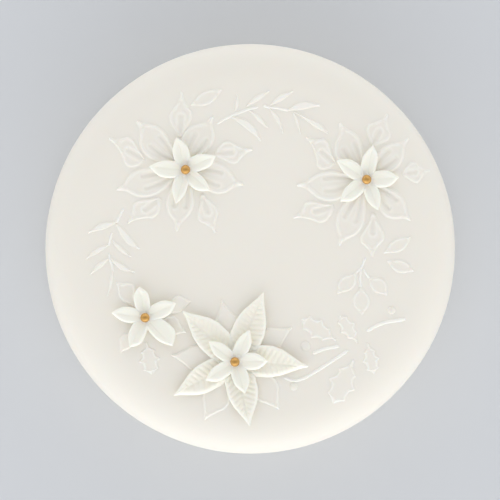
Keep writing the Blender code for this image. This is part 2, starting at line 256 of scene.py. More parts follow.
def goldMaterial(group):
    material, tree = newMaterial("goldLustreOnSugar")
    lustre = addNode(tree, "ShaderNodeGroup", node_tree=group).outputs
    shine = {
        "Base Color": lustre["Color"],
        "Roughness": lustre["Roughness"],
        "Normal": bumpFrom(tree, lustre["Height"], 0.02 * mm, 0.3),
        "Metallic": 0.7,
        "Coat Weight": 0.25,
        "Coat Roughness": 0.2,
    }
    setShader(tree, shine)
    return material


def floorMaterial():
    material, tree = newMaterial("paleFloor")
    setShader(tree, {"Base Color": (0.66, 0.67, 0.68, 1.0), "Roughness": 0.8})
    return material


# Geometry Nodes


def geometryTree(name, measures):
    # a tree that takes points or a line, named measures and a material
    inputs = [("Geometry", "Geometry", None), ("Material", "Material", None)]
    inputs += [(label, "Float", measure) for label, measure in measures.items()]
    return newTree(name, "GeometryNodeTree", inputs, [("Geometry", "Geometry")])


def drawn(tree, value, points):
    # a curve through a few (x, y) points, read at value
    node = addNode(tree, "ShaderNodeFloatCurve", {"Value": value})
    curve = node.mapping.curves[0]
    curve.points[0].location = points[0]
    curve.points[1].location = points[-1]
    for x, y in points[1:-1]:
        curve.points.new(x, y)
    node.mapping.update()
    return node.outputs["Value"]


def vectorCalc(tree, operation, *values):
    node = addNode(tree, "ShaderNodeVectorMath", dict(enumerate(values)), operation=operation)
    return node.outputs["Value" if operation == "LENGTH" else "Vector"]


def scaled(tree, vector, factor):
    node = addNode(tree, "ShaderNodeVectorMath", {0: vector, "Scale": factor}, operation="SCALE")
    return node.outputs["Vector"]


def attribute(tree, name, kind="FLOAT"):
    node = addNode(tree, "GeometryNodeInputNamedAttribute", {"Name": name}, data_type=kind)
    return node.outputs["Attribute"]


def stored(tree, flow, name, value):
    # keeps a value on every point
    inputs = {"Geometry": flow, "Name": name, "Value": value}
    node = addNode(tree, "GeometryNodeStoreNamedAttribute", inputs, data_type="FLOAT", domain="POINT")
    return node.outputs["Geometry"]


def unitBlades(tree, points, rows, columns, lengthwise, crosswise):
    # one grid for each point of the input, with its own place along and across kept as attributes
    sizes = {"Size X": 1.0, "Size Y": 1.0, "Vertices X": rows, "Vertices Y": columns}
    flow = addNode(tree, "GeometryNodeMeshGrid", sizes).outputs["Mesh"]
    position = addNode(tree, "GeometryNodeInputPosition").outputs[0]
    place = addNode(tree, "ShaderNodeSeparateXYZ", {0: position}).outputs
    for name, side in ((lengthwise, "X"), (crosswise, "Y")):
        flow = stored(tree, flow, name, calc(tree, "ADD", place[side], 0.5))
    spread = addNode(tree, "GeometryNodeInstanceOnPoints", {"Points": points, "Instance": flow})
    return addNode(tree, "GeometryNodeRealizeInstances", {"Geometry": spread.outputs[0]}).outputs[0]


def finishTree(tree, value, flow, position):
    # moves the points, welds the seams, and gives the surface its material
    steps = (
        ("GeometryNodeSetPosition", {"Position": position}),
        ("GeometryNodeMergeByDistance", {"Distance": 0.001 * mm}),
        ("GeometryNodeSetShadeSmooth", {}),
        ("GeometryNodeRealizeInstances", {}),
        ("GeometryNodeSetMaterial", {"Material": value["Material"]}),
    )
    for kind, inputs in steps:
        flow = addNode(tree, kind, dict(inputs, Geometry=flow)).outputs[0]
    addNode(tree, "NodeGroupOutput", {0: flow})
    return tree


bellyPlace = 0.45  # where along its length each drawn outline is widest


def bladeHalves(tree, along, outline):
    # the half widths left and right of the midrib, each side with its belly where the leaf has it
    halves = []
    for hand in ("left", "right"):
        belly = calc(tree, "LOGARITHM", attribute(tree, hand + "Belly"), math.e)
        lean = calc(tree, "DIVIDE", math.log(bellyPlace), belly)
        shape = drawn(tree, calc(tree, "POWER", along, lean), outline)
        halves.append(product(tree, attribute(tree, hand), shape))
    return halves


def bladeMeasures(tree, along, side, outline):
    # the half width on a point's own side, the mean one, the distance in from the outline, and the length
    step = 0.012
    length = vectorCalc(tree, "LENGTH", attribute(tree, "run", "FLOAT_VECTOR"))
    onLeft = calc(tree, "GREATER_THAN", side, 0.0)
    here = bladeHalves(tree, along, outline)
    ahead = bladeHalves(tree, calc(tree, "MINIMUM", calc(tree, "ADD", along, step), 1.0), outline)
    behind = bladeHalves(tree, calc(tree, "MAXIMUM", calc(tree, "SUBTRACT", along, step), 0.0), outline)
    own, coming, gone = (mixed(tree, onLeft, right, left) for left, right in (here, ahead, behind))
    mean = product(tree, total(tree, *here), 0.5)
    slope = calc(tree, "DIVIDE", calc(tree, "SUBTRACT", coming, gone), product(tree, length, 2.0 * step))
    square = calc(tree, "INVERSE_SQRT", total(tree, product(tree, slope, slope), 1.0))
    inward = calc(tree, "SUBTRACT", 1.0, calc(tree, "ABSOLUTE", side))
    edge = product(tree, inward, mixed(tree, inward, own, mean), square)
    return own, mean, edge, length


# the height across half a groove, out to its reach: half is level with the blade
grooveReach = 2.8 * mm
grooveBanks = {
    "broad": [(0.0, 0.0), (0.16, 0.06), (0.32, 0.34), (0.46, 0.64), (0.58, 0.72), (0.76, 0.63), (1.0, 0.5)],
    "kite": [(0.0, 0.0), (0.18, 0.08), (0.38, 0.46), (0.6, 0.9), (0.74, 0.86), (0.9, 0.6), (1.0, 0.5)],
}


def bladePoint(tree, along, aside, height):
    # a point of a blade: along its midrib, which is arched sideways by bow, then aside from it, and up
    run = attribute(tree, "run", "FLOAT_VECTOR")
    across = vectorCalc(tree, "NORMALIZE", vectorCalc(tree, "CROSS_PRODUCT", (0.0, 0.0, 1.0), run))
    arch = product(tree, attribute(tree, "bow"), calc(tree, "SINE", product(tree, along, math.pi)))
    up = addNode(tree, "ShaderNodeCombineXYZ", {"Z": height}).outputs[0]
    spot = attribute(tree, "root", "FLOAT_VECTOR")
    for step in (scaled(tree, run, along), scaled(tree, across, arch), scaled(tree, across, aside), up):
        spot = vectorCalc(tree, "ADD", spot, step)
    return spot


# how a leaf is pressed: first the reach of its rim's parts in shares of the rim's width
rimShares = {"crest": 2.2, "shelf": 0.7, "oneRidge": 0.9, "twoRims": 1.9, "cutFrom": 0.8, "cutTo": 1.7}
rimProfile = [
    (0.0, 0.0), (0.09, 0.12), (0.2, 0.58), (0.33, 1.0), (0.46, 0.86), (0.62, 0.4), (0.8, 0.08), (1.0, 0.0),
]
press = {
    "leastShelf": 0.2 * mm,
    "melt": 0.15,
    "tip": 0.35 * mm,
    # the next two set the painted highlight: where along the leaf it fades in towards the tip, and the share
    # of the blade's height where it begins
    "paintedTipHighlight": (0.86, 0.95),
    "plain": 0.95,
    "narrowest": 0.15 * mm,
    "tuck": 0.03 * mm,
}


def embossedLeafTree(outline, rows, columns, banks):
    # a leaf pressed in icing: a raised rim, a lower blade, and grooves with soft banks, with a painted
    # highlight where it stands up and at its tip; the last row of points closes it underneath
    measures = {
        "Rise": 0.5 * mm,
        "Blade": 0.4,
        "Rim Width": 1.0 * mm,
        "Groove Depth": 0.0,
        "Groove Place": 0.3,
        "Groove Reach": 0.6,
        "Mouth": 1.5 * mm,
        "Painted Highlight Strength": 1.0,
        "Sink": 0.8 * mm,
    }
    tree, value = geometryTree(outline + "Leaf", measures)
    flow = unitBlades(tree, value["Geometry"], rows, columns + 1, "along", "across")
    along = attribute(tree, "along")
    loop = calc(tree, "MULTIPLY", attribute(tree, "across"), columns / (columns - 1))
    under = calc(tree, "GREATER_THAN", loop, 1.0001)
    loop = calc(tree, "MULTIPLY", loop, calc(tree, "SUBTRACT", 1.0, under))
    side = calc(tree, "SINE", product(tree, calc(tree, "SUBTRACT", loop, 0.5), math.pi))
    offAxis = calc(tree, "ABSOLUTE", side)
    half, mean, edge, length = bladeMeasures(tree, along, side, leafOutlines[outline])
    rim = {part: product(tree, value["Rim Width"], share) for part, share in rimShares.items()}

    ridge = drawn(tree, calc(tree, "DIVIDE", edge, rim["crest"], clamp=True), rimProfile)
    shelf = calc(tree, "MINIMUM", rim["shelf"], calc(tree, "MAXIMUM", mean, press["leastShelf"]))
    solid = ramp(tree, edge, 0.0, shelf)
    narrow = ramp(tree, mean, rim["oneRidge"], rim["twoRims"], 1.0, 0.0)
    ridge = product(tree, calc(tree, "SUBTRACT", 1.0, narrow), ridge)
    lifted = calc(tree, "SMOOTH_MAX", ridge, product(tree, narrow, solid), press["melt"])
    lifted = calc(tree, "SMOOTH_MAX", product(tree, solid, value["Blade"]), lifted, press["melt"])

    grooveAt = product(tree, half, value["Groove Place"])
    fromGroove = calc(tree, "SUBTRACT", product(tree, offAxis, half), grooveAt)
    past = calc(tree, "MAXIMUM", calc(tree, "SUBTRACT", along, value["Groove Reach"]), 0.0)
    past = product(tree, past, length)
    square = total(tree, product(tree, fromGroove, fromGroove), product(tree, past, past))
    fromGroove = calc(tree, "SQRT", square)
    bank = drawn(tree, calc(tree, "DIVIDE", fromGroove, grooveReach, clamp=True), grooveBanks[banks])
    inner = ramp(tree, edge, rim["cutFrom"], rim["cutTo"])
    cut = product(tree, calc(tree, "SUBTRACT", bank, 0.5), 2.0, inner, value["Groove Depth"])

    fromRoot = product(tree, along, length)
    fromTip = product(tree, calc(tree, "SUBTRACT", 1.0, along), length)
    ends = product(tree, ramp(tree, fromRoot, 0.0, value["Mouth"]), ramp(tree, fromTip, 0.0, press["tip"]))
    height = product(tree, total(tree, product(tree, lifted, value["Rise"]), cut), ends)
    # painted highlight: the paste is painted paler where it stands up above the blade and towards the tip,
    # scaled by the highlight strength
    plain = product(tree, value["Blade"], press["plain"])
    paintedHighlight = ramp(tree, calc(tree, "DIVIDE", height, value["Rise"]), plain, 1.0)
    paintedHighlight = calc(tree, "MAXIMUM", paintedHighlight, ramp(tree, along, *press["paintedTipHighlight"]))
    flow = stored(tree, flow, "paintedHighlight", product(tree, paintedHighlight, value["Painted Highlight Strength"]))

    shut = calc(tree, "GREATER_THAN", calc(tree, "MINIMUM", fromRoot, fromTip), 0.001 * mm)
    skirt = calc(tree, "GREATER_THAN", offAxis, 0.99999)
    skirt = calc(tree, "MAXIMUM", skirt, calc(tree, "SUBTRACT", 1.0, shut))
    sunk = total(tree, product(tree, skirt, value["Sink"]), press["tuck"])
    height = calc(tree, "SUBTRACT", height, sunk)
    aside = product(tree, side, shut, calc(tree, "MAXIMUM", half, press["narrowest"]))
    return finishTree(tree, value, flow, bladePoint(tree, along, aside, height))


# how a petal is moulded: a pair is where a fade starts and ends, and thinning also has its two strengths
mould = {
    "thinning": (0.3, 1.0, 1.0, 0.75),
    "climbPower": 1.35,
    "curlPower": 6.0,
    "bowl": (0.1, 0.45),
    "fold": (0.05, 0.35),
    "rib": 0.7 * mm,
    "ribEnd": (0.7, 0.95),
    "veinPower": 4.0,
    "veinStart": (0.08, 0.2),
    "veinFromRib": (0.2 * mm, 0.9 * mm),
    "veinFromEdge": (0.5 * mm, 1.6 * mm),
    "veinFade": 0.15,
    # the painted highlight along a petal's outline fades out between these two distances in from it
    "paintedEdgeHighlight": (0.3 * mm, 2.2 * mm),
    "narrowest": 0.12 * mm,
}
rolledProfile = [(0.0, 0.0), (0.15, 0.3), (0.35, 0.85), (0.5, 1.0), (0.65, 0.8), (0.85, 0.2), (1.0, 0.0)]


def petalTree(kind):
    # a moulded petal: a closed blade, cupped between rolled rims, with a midrib and side veins on top, and a
    # painted highlight along its outline
    tree, value = geometryTree(kind, petalKinds[kind])
    rows, columns = petalGrids[kind]
    flow = unitBlades(tree, value["Geometry"], rows, columns + 1, "along", "around")
    along = attribute(tree, "along")
    turn = product(tree, attribute(tree, "around"), 2.0 * math.pi)
    side = calc(tree, "COSINE", turn)
    face = calc(tree, "SINE", turn)
    offAxis = calc(tree, "ABSOLUTE", side)
    onTop = ramp(tree, face, 0.0, 0.3)
    onLeft = calc(tree, "GREATER_THAN", side, 0.0)
    half, mean, edge, length = bladeMeasures(tree, along, side, petalOutlines[kind])
    fromRib = product(tree, offAxis, half)
    nearest = calc(tree, "MINIMUM", along, calc(tree, "SUBTRACT", 1.0, along))
    shut = calc(tree, "GREATER_THAN", nearest, 0.0001)

    # both faces round over to the outline, and the blade thins towards its tip
    inside = calc(tree, "SUBTRACT", 1.0, calc(tree, "DIVIDE", edge, value["Rounding"], clamp=True))
    body = calc(tree, "SQRT", calc(tree, "SUBTRACT", 1.0, product(tree, inside, inside)))
    body = product(tree, body, calc(tree, "SIGN", face), 0.5, value["Thickness"], shut)
    body = product(tree, body, ramp(tree, along, *mould["thinning"]))

    # it climbs, cups, curls, leans and folds down at its sides
    climb = product(tree, value["Lift"], calc(tree, "POWER", along, mould["climbPower"]))
    full = total(tree, attribute(tree, "left"), attribute(tree, "right"))
    wide = calc(tree, "DIVIDE", product(tree, mean, 2.0), full)
    trough = product(tree, value["Cup"], attribute(tree, "cupping"), wide, ramp(tree, along, *mould["bowl"]))
    trough = product(tree, trough, calc(tree, "POWER", offAxis, 2.0), shut)
    curl = product(tree, value["Tip Curl"], calc(tree, "POWER", along, mould["curlPower"]))
    roll = product(tree, attribute(tree, "roll"), side, half, shut)
    outer = calc(tree, "SUBTRACT", 1.0, calc(tree, "DIVIDE", edge, value["Fold Width"], clamp=True))
    folding = mixed(tree, onLeft, attribute(tree, "rightFold"), attribute(tree, "leftFold"))
    fold = product(tree, outer, outer, folding, value["Fold"], ramp(tree, along, *mould["fold"]), shut)

    # its upper face has a rolled rim, a midrib and veins
    nearRim = calc(tree, "DIVIDE", edge, product(tree, value["Rounding"], 2.0), clamp=True)
    rim = product(tree, drawn(tree, nearRim, rolledProfile), value["Rim Rise"])
    rib = product(
        tree,
        ramp(tree, fromRib, 0.0, mould["rib"], 1.0, 0.0),
        ramp(tree, along, *mould["ribEnd"], 1.0, 0.0),
        value["Midrib Depth"],
    )
    lean = product(tree, fromRib, attribute(tree, "slant"))
    phase = calc(tree, "SUBTRACT", product(tree, along, length), lean)
    wave = calc(tree, "COSINE", product(tree, calc(tree, "DIVIDE", phase, value["Vein Spacing"]), math.pi))
    reach = value["Vein Reach"]
    veins = product(
        tree,
        calc(tree, "POWER", calc(tree, "ABSOLUTE", wave), mould["veinPower"]),
        product(tree, ramp(tree, fromRib, *mould["veinFromRib"]), ramp(tree, edge, *mould["veinFromEdge"])),
        ramp(tree, along, calc(tree, "SUBTRACT", reach, mould["veinFade"]), reach, 1.0, 0.0),
        ramp(tree, along, *mould["veinStart"]),
        mixed(tree, onLeft, attribute(tree, "rightVeins"), attribute(tree, "leftVeins")),
        value["Vein Depth"],
    )
    relief = product(tree, onTop, calc(tree, "SUBTRACT", rim, total(tree, veins, rib)), shut)
    # painted highlight: the paste is painted paler near the outline
    paintedHighlight = product(tree, ramp(tree, edge, *mould["paintedEdgeHighlight"], 1.0, 0.0), value["Painted Highlight Strength"])
    flow = stored(tree, flow, "paintedHighlight", paintedHighlight)

    height = calc(tree, "SUBTRACT", total(tree, body, climb, trough, curl, roll, relief), fold)
    aside = product(tree, side, shut, calc(tree, "MAXIMUM", half, mould["narrowest"]))
    return finishTree(tree, value, flow, bladePoint(tree, along, aside, height))


def stalkTree():
    # a stalk that follows a drawn line, blunt at its ends, painted paler all over as a painted highlight
    tree, value = geometryTree("stalk", {"Radius": 0.5 * mm})
    line = addNode(tree, "GeometryNodeMeshToCurve", {"Mesh": value["Geometry"]}).outputs[0]
    bend = addNode(tree, "GeometryNodeCurveSplineType", {"Curve": line}, spline_type="CATMULL_ROM")
    spacing = {"Curve": bend.outputs[0], "Length": 0.35 * mm}
    dense = addNode(tree, "GeometryNodeResampleCurve", spacing, mode="LENGTH").outputs[0]
    circle = {"Resolution": 12, "Radius": value["Radius"]}
    ring = addNode(tree, "GeometryNodeCurvePrimitiveCircle", circle).outputs[0]
    part = addNode(tree, "GeometryNodeSplineParameter").outputs["Factor"]
    blunt = [(0.0, 0.35), (0.03, 0.85), (0.08, 1.0), (0.92, 1.0), (0.97, 0.85), (1.0, 0.35)]
    shape = {"Curve": dense, "Profile Curve": ring, "Scale": drawn(tree, part, blunt), "Fill Caps": True}
    tube = addNode(tree, "GeometryNodeCurveToMesh", shape).outputs[0]
    place = addNode(tree, "GeometryNodeInputPosition").outputs[0]
    # the stalk stores a strong painted highlight all over
    return finishTree(tree, value, stored(tree, tube, "paintedHighlight", 0.9), place)


def runTree(name, source, tree, values):
    # runs a tree on a source mesh and returns the result as a plain mesh object, its faces outwards
    host = bpy.data.objects.new(name + "Source", source)
    bpy.context.scene.collection.objects.link(host)
    modifier = host.modifiers.new("nodes", "NODES")
    modifier.node_group = tree
    for socket in tree.interface.items_tree:
        if socket.in_out == "INPUT" and socket.name in values:
            modifier[socket.identifier] = values[socket.name]
    graph = bpy.context.evaluated_depsgraph_get()
    mesh = bpy.data.meshes.new_from_object(host.evaluated_get(graph))
    bpy.data.objects.remove(host)
    mesh.name = name
    bm = bmesh.new()
    bm.from_mesh(mesh)
    bmesh.ops.recalc_face_normals(bm, faces=bm.faces)
    bm.to_mesh(mesh)
    bm.free()
    for layer in list(mesh.attributes):
        if layer.name in bladeLayers:
            mesh.attributes.remove(layer)
    return linked(name, mesh)


def linked(name, mesh):
    piece = bpy.data.objects.new(name, mesh)
    bpy.context.scene.collection.objects.link(piece)
    return piece


def formed(name, bm, material):
    # a shape that was built face by face, as a smooth piece of one material
    for face in bm.faces:
        face.smooth = True
    mesh = bpy.data.meshes.new(name)
    bm.to_mesh(mesh)
    bm.free()
    mesh.materials.append(material)
    return linked(name, mesh)


bladeLayers = {"root": "FLOAT_VECTOR", "run": "FLOAT_VECTOR"}
for key in ("left", "right", "leftBelly", "rightBelly", "leftVeins", "rightVeins", "leftFold", "rightFold"):
    bladeLayers[key] = "FLOAT"
for key in ("slant", "bow", "cupping", "roll", "along", "across", "around"):
    bladeLayers[key] = "FLOAT"


def bladePoints(name, blades):
    # a mesh with one point for each leaf or petal, and its measures as attributes of that point
    mesh = bpy.data.meshes.new(name)
    mesh.vertices.add(len(blades))
    for key in blades[0]:
        layer = mesh.attributes.new(key, bladeLayers[key], "POINT")
        for spot, blade in zip(layer.data, blades):
            if bladeLayers[key] == "FLOAT":
                spot.value = blade[key]
            else:
                spot.vector = blade[key]
    return mesh


def drape(piece):
    # lays a piece that was made on level zero onto the icing's curved top
    for point in piece.data.vertices:
        point.co.z += icingHeight(point.co.x, point.co.y)


def joined(name, parts):
    # several pieces as one, with the values kept on their points
    first = parts[0]
    chosen = {"active_object": first, "selected_objects": parts, "selected_editable_objects": parts}
    with bpy.context.temp_override(**chosen):
        bpy.ops.object.join()
    first.name = name
    first.data.name = name
    return first


def keep(piece, slot, *nodes):
    # every piece of the cake rides on the one body and stands for the nodes it replaces
    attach(piece, "root")
    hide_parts(*nodes)


# The iced drum

drum = {
    "turns": 160,
    "shoulderSteps": 22,
    "topRings": 14,
    "sideRings": 12,
    "foot": 1.4 * mm,
    "footEasing": 0.3,
    "ripple": 0.10 * mm,
    "rippleSize": 28.0,
}


def icedDrum(material):
    # a profile from the axis over the shoulder and down to the foot, turned once and gently uneven
    flat = cakeRadius - shoulder["width"]
    outline = [(flat * n / drum["topRings"], shoulder["top"]) for n in range(drum["topRings"])]
    for n in range(drum["shoulderSteps"] + 1):
        quarter = 0.5 * math.pi * n / drum["shoulderSteps"]
        across = math.sin(quarter) ** (2.0 / shoulder["power"])
        radius = flat + shoulder["width"] * across
        outline.append((radius, icingHeight(radius, 0.0)))
    low = outline[-1][1]
    for n in range(1, drum["sideRings"] + 1):
        outline.append((cakeRadius, low + (drum["foot"] - low) * n / drum["sideRings"]))
    easing = drum["footEasing"] * drum["foot"]
    outline += [(cakeRadius - easing, easing), (cakeRadius - drum["foot"], 0.0), (0.0, 0.0)]
    bm = bmesh.new()
    points = [bm.verts.new((radius, 0.0, height)) for radius, height in outline]
    edges = [bm.edges.new(pair) for pair in zip(points, points[1:])]
    bmesh.ops.spin(
        bm,
        geom=points + edges,
        axis=(0.0, 0.0, 1.0),
        cent=(0.0, 0.0, 0.0),
        steps=drum["turns"],
        angle=2.0 * math.pi,
        use_duplicate=False,
    )
    bmesh.ops.remove_doubles(bm, verts=bm.verts, dist=0.01 * mm)
    bmesh.ops.recalc_face_normals(bm, faces=bm.faces)
    for point in bm.verts:
        if point.co.z > drum["foot"]:
            inward = min(1.0, (shoulder["top"] - point.co.z) / shoulder["drop"])
            swell = noise.noise(point.co * drum["rippleSize"]) * drum["ripple"] * inward
            out = Vector((point.co.x, point.co.y, 0.0))
            point.co -= out.normalized() * abs(swell)
    return formed("icing", bm, material)


# The embossed leaves

# A leaf of a star is given by bearing and distance of its root and of its tip from the flower's middle,
# its half width to the left and to the right, and how far along each side is widest.
stars = {
    "back_left": {
        "at": (-28.5, 34.7),
        "large": (
            (62.2, 0.0, 62.2, 26.4, 7.7, 4.9, 0.50, 0.58),
            (134.6, 0.0, 134.6, 30.2, 7.5, 4.7, 0.56, 0.62),
            (196.3, 0.0, 196.3, 31.8, 6.7, 5.3, 0.55, 0.60),
            (262.3, 0.0, 262.3, 27.6, 5.5, 5.9, 0.50, 0.52),
            (345.3, 0.0, 345.3, 26.6, 6.1, 6.4, 0.50, 0.56),
        ),
        "small": (
            (28.7, 14.2, 16.4, 31.0, 4.6, 4.9, 0.37, 0.50),
            (99.0, 13.8, 92.7, 34.5, 4.7, 4.6, 0.45, 0.50),
            (167.0, 17.6, 157.6, 36.2, 6.0, 4.8, 0.30, 0.57),
            (229.0, 16.0, 223.0, 34.6, 4.8, 4.9, 0.38, 0.56),
            (304.9, 12.4, 295.8, 31.0, 3.9, 4.9, 0.50, 0.54),
        ),
    },
    "back_right": {
        "at": (51.1, 30.3),
        "large": (
            (44.7, 0.0, 44.7, 26.2, 4.8, 5.2, 0.50, 0.50),
            (115.6, 0.0, 115.6, 27.9, 7.6, 4.3, 0.52, 0.60),
            (184.4, 0.0, 184.4, 31.2, 7.8, 4.6, 0.52, 0.52),
            (246.8, 0.0, 246.8, 31.8, 5.9, 5.8, 0.60, 0.56),
            (317.0, 0.0, 317.0, 26.4, 4.8, 5.8, 0.55, 0.60),
        ),
        "small": (
            (10.0, 15.0, 8.0, 28.2, 4.4, 4.4, 0.45, 0.50),
            (82.0, 14.4, 72.6, 30.2, 5.4, 5.2, 0.46, 0.46),
            (154.0, 14.9, 144.9, 32.7, 6.0, 4.6, 0.27, 0.58),
            (218.4, 18.0, 207.3, 36.5, 5.4, 4.6, 0.38, 0.57),
            (280.6, 14.0, 273.8, 34.0, 4.9, 5.2, 0.56, 0.62),
        ),
    },
    "front_left": {
        "at": (-46.0, -30.1),
        "under": (
            (19.3, 2.0, 19.3, 21.5, 4.6, 3.0, 0.72, 0.66),
            (234.6, 2.0, 234.6, 18.7, 2.6, 4.1, 0.72, 0.66),
        ),
        "rimmed": (
            (129.4, 2.0, 129.4, 20.3, 3.0, 5.2, 0.60, 0.66),
            (340.6, 2.0, 340.6, 19.3, 5.1, 4.4, 0.56, 0.56),
        ),
    },
    "front": {
        "at": (-6.7, -49.4),
        "under": (
            (30.7, 9.0, 30.7, 29.2, 6.4, 6.0, 0.40, 0.40),
            (102.2, 9.0, 102.2, 27.7, 6.1, 6.1, 0.38, 0.38),
            (174.2, 7.0, 174.2, 28.2, 6.1, 6.1, 0.44, 0.44),
        ),
        "rimmed": (
            (242.1, 4.0, 242.1, 29.0, 6.3, 6.0, 0.54, 0.52),
            (351.1, 6.1, 312.9, 28.7, 6.2, 6.0, 0.52, 0.54),
        ),
    },
}
leafOutlines = {
    "broad": [
        (0.0, 0.0), (0.04, 0.3), (0.14, 0.58), (0.28, 0.86), (0.45, 1.0), (0.62, 0.86), (0.74, 0.58),
        (0.84, 0.28), (0.91, 0.15), (1.0, 0.09),
    ],
    "kite": [
        (0.0, 0.0), (0.03, 0.26), (0.12, 0.46), (0.27, 0.8), (0.4, 0.98), (0.5, 0.97), (0.62, 0.7),
        (0.74, 0.42), (0.84, 0.23), (0.91, 0.15), (1.0, 0.1),
    ],
    "pad": [
        (0.0, 0.1), (0.2, 0.55), (0.35, 0.93), (0.45, 1.0), (0.56, 0.92), (0.7, 0.62), (0.85, 0.3),
        (0.93, 0.14), (1.0, 0.04),
    ],
    "sprig": [
        (0.0, 0.0), (0.05, 0.2), (0.15, 0.52), (0.3, 0.88), (0.45, 1.0), (0.6, 0.93), (0.76, 0.66),
        (0.88, 0.35), (0.95, 0.18), (1.0, 0.05),
    ],
    "narrow": [
        (0.0, 0.2), (0.1, 0.5), (0.28, 0.86), (0.45, 1.0), (0.62, 0.86), (0.78, 0.56), (0.9, 0.34),
        (1.0, 0.16),
    ],
    "holly": [
        (0.0, 0.14), (0.1, 0.14), (0.18, 0.34), (0.26, 0.6), (0.3, 0.7), (0.35, 0.62), (0.42, 0.67),
        (0.5, 0.87), (0.56, 1.0), (0.61, 0.85), (0.68, 0.68), (0.76, 0.66), (0.83, 0.72), (0.88, 0.52),
        (0.93, 0.28), (1.0, 0.05),
    ],
}
# each kind's outline, the points of its blade along and across, and the banks of its groove
leafShapes = {
    "large": ("broad", 60, 40, "broad"),
    "small": ("kite", 60, 40, "kite"),
    "under": ("pad", 80, 44, "broad"),
    "frond": ("narrow", 40, 20, "broad"),
    "sprig": ("sprig", 44, 30, "broad"),
    "holly": ("holly", 90, 30, "broad"),
}
# "room" is how far a leaf reaches past the line that it was measured to, the crest of its rim
# each kind also says how strongly it is painted paler where it stands up, a painted highlight
leafKinds = {
    "large": {
        "room": 0.9 * mm, "Rise": 0.58 * mm, "Blade": 0.56, "Rim Width": 1.8 * mm, "Mouth": 3.0 * mm,
        "Groove Depth": 0.31 * mm, "Groove Place": 0.4, "Groove Reach": 0.58, "Painted Highlight Strength": 0.5,
    },
    "small": {
        "room": 0.8 * mm, "Rise": 0.5 * mm, "Blade": 0.52, "Rim Width": 1.5 * mm, "Mouth": 1.4 * mm,
        "Groove Depth": 0.26 * mm, "Groove Place": 0.0, "Groove Reach": 0.46, "Painted Highlight Strength": 0.5,
    },
    "under": {
        "room": 0.0, "Rise": 0.8 * mm, "Blade": 1.0, "Rim Width": 1.5 * mm, "Mouth": 2.0 * mm,
        "Painted Highlight Strength": 0.2,
    },
    "rimmed": {
        "room": 0.4 * mm, "Rise": 0.5 * mm, "Blade": 0.5, "Rim Width": 1.3 * mm, "Mouth": 2.0 * mm,
        "Painted Highlight Strength": 0.6,
    },
    "sprig": {
        "room": 0.6 * mm, "Rise": 0.42 * mm, "Blade": 0.6, "Rim Width": 1.3 * mm, "Mouth": 0.3 * mm,
        "Painted Highlight Strength": 0.6,
    },
    "frond": {
        "room": 0.15 * mm, "Rise": 0.45 * mm, "Blade": 1.0, "Rim Width": 1.2 * mm, "Mouth": 0.3 * mm,
        "Painted Highlight Strength": 0.8,
    },
    "holly": {
        "room": 0.5 * mm, "Rise": 0.44 * mm, "Blade": 0.68, "Rim Width": 1.2 * mm, "Mouth": 0.2 * mm,
        "Painted Highlight Strength": 0.8, "Sink": 0.6 * mm,
    },
}


def leafPiece(name, trees, kind, leaves, material):
    for leaf in leaves:
        leaf["left"] += leafKinds[kind]["room"]
        leaf["right"] += leafKinds[kind]["room"]
    values = dict(leafKinds[kind], Material=material)
    piece = runTree(name, bladePoints(name, leaves), trees[kind], values)
    drape(piece)
    return piece


def leafBlade(root, tip, left, right, leftBelly, rightBelly, bow=0.0):
    return {
        "root": root,
        "run": tip - root,
        "left": left * mm,
        "right": right * mm,
        "leftBelly": leftBelly,
        "rightBelly": rightBelly,
        "bow": bow * mm,
    }


def embossedStar(place, star, trees, material):
    # the leaves round a flower, larger and smaller ones by turns
    centre = Vector((*star["at"], 0.0)) * mm
    parts = []
    for kind in leafKinds:
        if kind not in star:
            continue
        leaves = []
        for rootBearing, rootReach, bearing, reach, *widths in star[kind]:
            root = polar(centre, rootBearing, rootReach * mm)
            leaves.append(leafBlade(root, polar(centre, bearing, reach * mm), *widths))
        parts.append(leafPiece(place + kind, trees, kind, leaves, material))
    return joined("leaves_" + place, parts)


